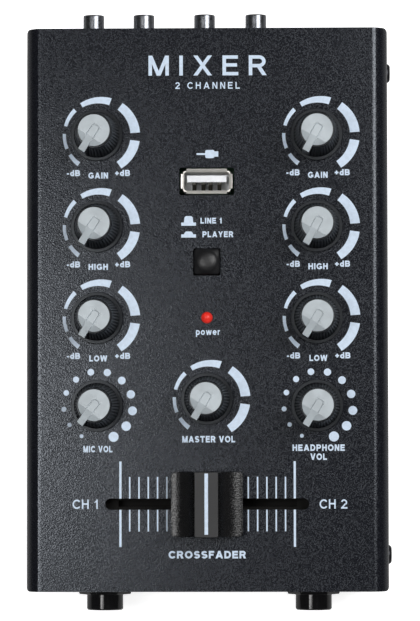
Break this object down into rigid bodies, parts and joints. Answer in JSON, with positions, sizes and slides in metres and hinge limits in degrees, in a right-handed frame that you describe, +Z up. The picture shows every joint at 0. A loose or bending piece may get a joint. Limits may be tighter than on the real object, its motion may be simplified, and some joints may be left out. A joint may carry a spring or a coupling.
{
  "type": "dj mixer",
  "caption": "Compact desktop DJ mixer in a folded steel case, with turning gain, tone and level knobs, a sliding crossfader, a push button, a USB socket and audio sockets front and rear.",
  "frame": {"origin": "on the table under the middle of the footprint, sockets included", "axes": "+X to the right of someone using it, +Y towards the rear line sockets, +Z up out of the control panel"},
  "size_m": [0.1044, 0.1699, 0.061],
  "materials": {
    "powder_coat": "black textured powder coat, fine wrinkle",
    "case_black": "black textured powder coat",
    "screw_black": "black zinc",
    "foot_rubber": "matte",
    "circuit_board": "green solder mask",
    "pillar_brass": "turned",
    "bright_screw": "bright zinc",
    "ribbon_grey": "matte",
    "pressed_steel": "pressed sheet",
    "shaft_aluminium": "turned",
    "knob_black": "moulded, satin",
    "cap_grey": "moulded, satin",
    "fader_plastic": "fine-grained moulding",
    "button_gloss": "polished",
    "black_plastic": "matte",
    "led_red": "diffused epoxy, lit",
    "socket_metal": "plated sheet",
    "white_plastic": "satin white",
    "sleeve_nickel": "nickel plate",
    "jack_black": "moulded, satin gloss"
  },
  "bodies": {
    "case": {"top_cover": "powder_coat", "bottom_chassis": "case_black", "side_screws": "screw_black", "rubber_feet": "foot_rubber", "main_board": "circuit_board", "rear_board": "circuit_board", "front_board": "circuit_board", "board_pillars": "pillar_brass", "board_screws": "bright_screw", "ribbon_cables": "ribbon_grey", "fader_body": "pressed_steel", "button_switch": "black_plastic", "power_led": "led_red", "usb_shell": "socket_metal", "usb_tongue": "white_plastic", "line_jacks": "black_plastic", "line_sleeves": "sleeve_nickel", "mic_jack": "jack_black", "headphone_jack": "jack_black", "jack_nuts": "jack_black", "dc_jack": "black_plastic", "gain_1_pot": "pressed_steel", "high_1_pot": "pressed_steel", "low_1_pot": "pressed_steel", "mic_pot": "pressed_steel", "master_pot": "pressed_steel", "gain_2_pot": "pressed_steel", "high_2_pot": "pressed_steel", "low_2_pot": "pressed_steel", "headphone_pot": "pressed_steel"},
    "gain_1": {"gain_1_shaft": "shaft_aluminium", "gain_1_knob": "knob_black", "gain_1_cap": "cap_grey"},
    "high_1": {"high_1_shaft": "shaft_aluminium", "high_1_knob": "knob_black", "high_1_cap": "cap_grey"},
    "low_1": {"low_1_shaft": "shaft_aluminium", "low_1_knob": "knob_black", "low_1_cap": "cap_grey"},
    "mic": {"mic_shaft": "shaft_aluminium", "mic_knob": "knob_black", "mic_cap": "cap_grey"},
    "master": {"master_shaft": "shaft_aluminium", "master_knob": "knob_black", "master_cap": "cap_grey"},
    "gain_2": {"gain_2_shaft": "shaft_aluminium", "gain_2_knob": "knob_black", "gain_2_cap": "cap_grey"},
    "high_2": {"high_2_shaft": "shaft_aluminium", "high_2_knob": "knob_black", "high_2_cap": "cap_grey"},
    "low_2": {"low_2_shaft": "shaft_aluminium", "low_2_knob": "knob_black", "low_2_cap": "cap_grey"},
    "headphone": {"headphone_shaft": "shaft_aluminium", "headphone_knob": "knob_black", "headphone_cap": "cap_grey"},
    "crossfader": {"fader_lever": "pressed_steel", "fader_cap": "fader_plastic"},
    "button": {"button_cap": "button_gloss"}
  },
  "joints": [
    {"name": "gain_1_turn", "type": "hinge", "parent": "case", "child": "gain_1", "pos_m": [-0.0306, 0.0485, 0.045], "axis": [0, 0, -1], "range_deg": [0, 300]},
    {"name": "high_1_turn", "type": "hinge", "parent": "case", "child": "high_1", "pos_m": [-0.0306, 0.023, 0.045], "axis": [0, 0, -1], "range_deg": [0, 300]},
    {"name": "low_1_turn", "type": "hinge", "parent": "case", "child": "low_1", "pos_m": [-0.0306, -0.0025, 0.045], "axis": [0, 0, -1], "range_deg": [0, 300]},
    {"name": "mic_turn", "type": "hinge", "parent": "case", "child": "mic", "pos_m": [-0.0306, -0.0269, 0.045], "axis": [0, 0, -1], "range_deg": [0, 300]},
    {"name": "master_turn", "type": "hinge", "parent": "case", "child": "master", "pos_m": [0, -0.025, 0.045], "axis": [0, 0, -1], "range_deg": [0, 300]},
    {"name": "gain_2_turn", "type": "hinge", "parent": "case", "child": "gain_2", "pos_m": [0.0306, 0.0485, 0.045], "axis": [0, 0, -1], "range_deg": [0, 300]},
    {"name": "high_2_turn", "type": "hinge", "parent": "case", "child": "high_2", "pos_m": [0.0306, 0.023, 0.045], "axis": [0, 0, -1], "range_deg": [0, 300]},
    {"name": "low_2_turn", "type": "hinge", "parent": "case", "child": "low_2", "pos_m": [0.0306, -0.0025, 0.045], "axis": [0, 0, -1], "range_deg": [0, 300]},
    {"name": "headphone_turn", "type": "hinge", "parent": "case", "child": "headphone", "pos_m": [0.0306, -0.0269, 0.045], "axis": [0, 0, -1], "range_deg": [0, 300]},
    {"name": "crossfader_slide", "type": "slide", "parent": "case", "child": "crossfader", "axis": [1, 0, 0], "range_m": [-0.0225, 0.0225]},
    {"name": "button_press", "type": "slide", "parent": "case", "child": "button", "axis": [0, 0, -1], "range_m": [0, 0.0025], "stiffness_N_per_m": 500, "springref_m": -0.001}
  ]
}
